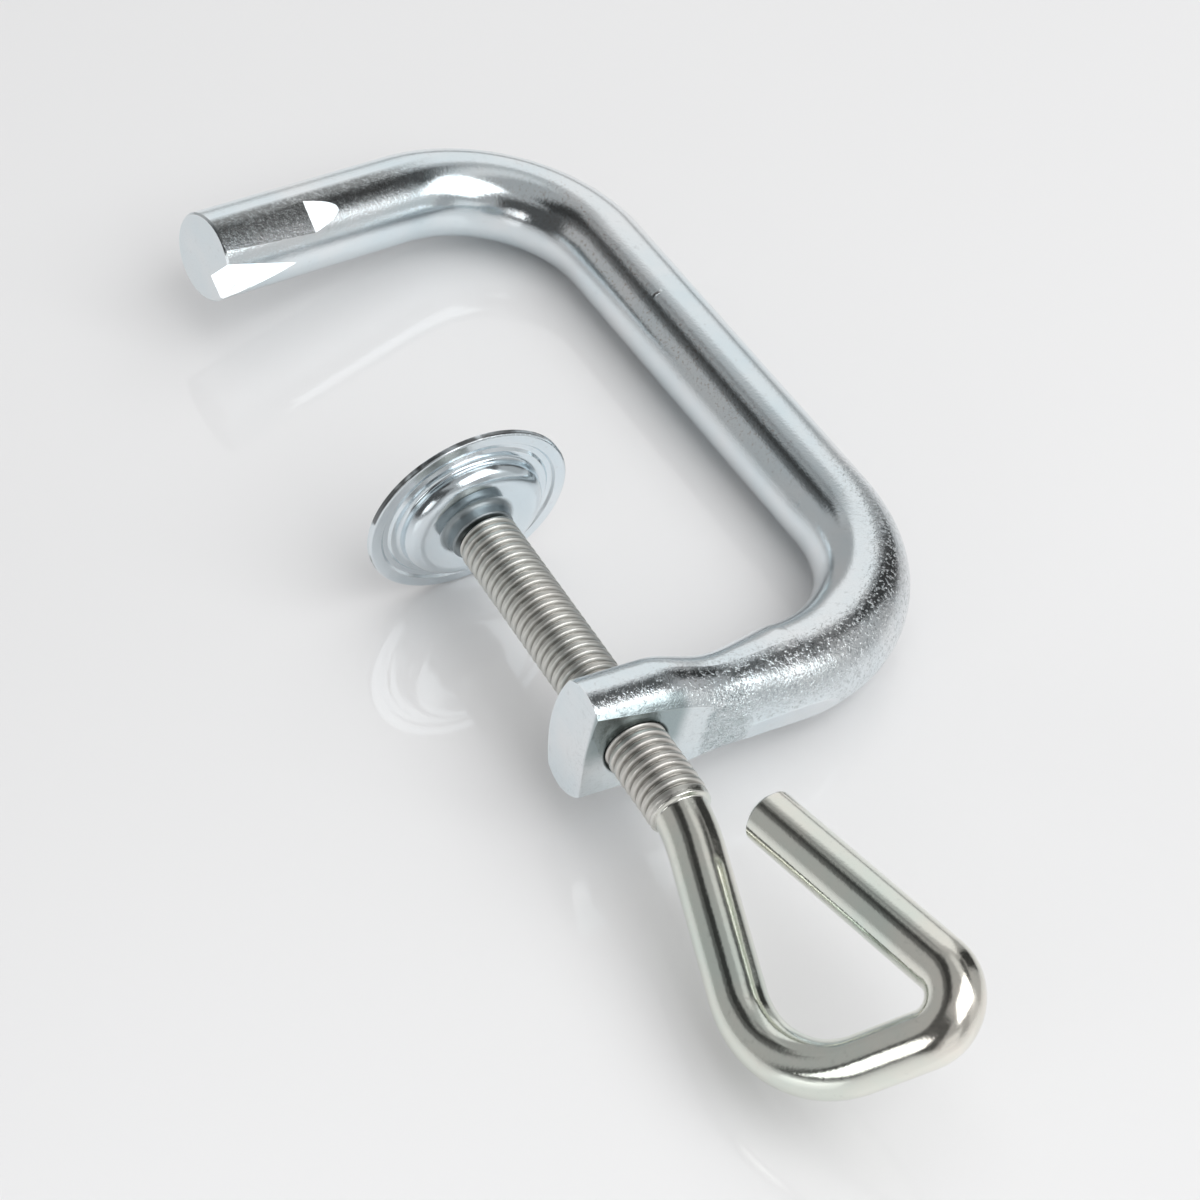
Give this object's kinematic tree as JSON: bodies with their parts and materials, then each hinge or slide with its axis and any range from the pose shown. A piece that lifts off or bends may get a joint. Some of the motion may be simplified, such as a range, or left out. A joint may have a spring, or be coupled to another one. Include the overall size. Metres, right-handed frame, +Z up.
{
  "type": "table clamp",
  "caption": "Table clamp: round steel bar bent into a C, a long screw through its flattened end, a stamped pressure disc riveted on the screw's tip and a bent loop handle.",
  "frame": {"origin": "middle of the bounding box, at the level of the surface the clamp lies on", "axes": "+Y along the bar's straight back, from the loop handle to the upper arm; +X from the screw to the bar's back; +Z up from the surface the clamp lies on"},
  "size_m": [0.0634, 0.1626, 0.0267],
  "materials": {
    "frame_zinc": "bright bluish zinc plating over drawn bar, dark speckled reflections",
    "screw_zinc": "zinc plating with a faint yellow and pink tint, rolled thread",
    "disc_zinc": "bright zinc plating on smooth stamped sheet, almost a mirror"
  },
  "bodies": {
    "frame": {"frame": "frame_zinc"},
    "disc": {"pressure_disc": "disc_zinc"},
    "screw": {"screw": "screw_zinc"}
  },
  "joints": [
    {"name": "disc_travel", "type": "slide", "parent": "frame", "child": "disc", "axis": [0.0345, 0.9994, -0.0055], "range_m": [-0.0275, 0.00625]},
    {"name": "screw_turn", "type": "hinge", "parent": "disc", "child": "screw", "pos_m": [-0.02009, -0.03312, 0.01335], "axis": [0.0345, 0.9994, -0.0055], "range_deg": [-7921, 1801]}
  ],
  "couplings": [
    {"joint": "screw_turn", "follows": "disc_travel", "rad_per_m": 5026.5}
  ]
}
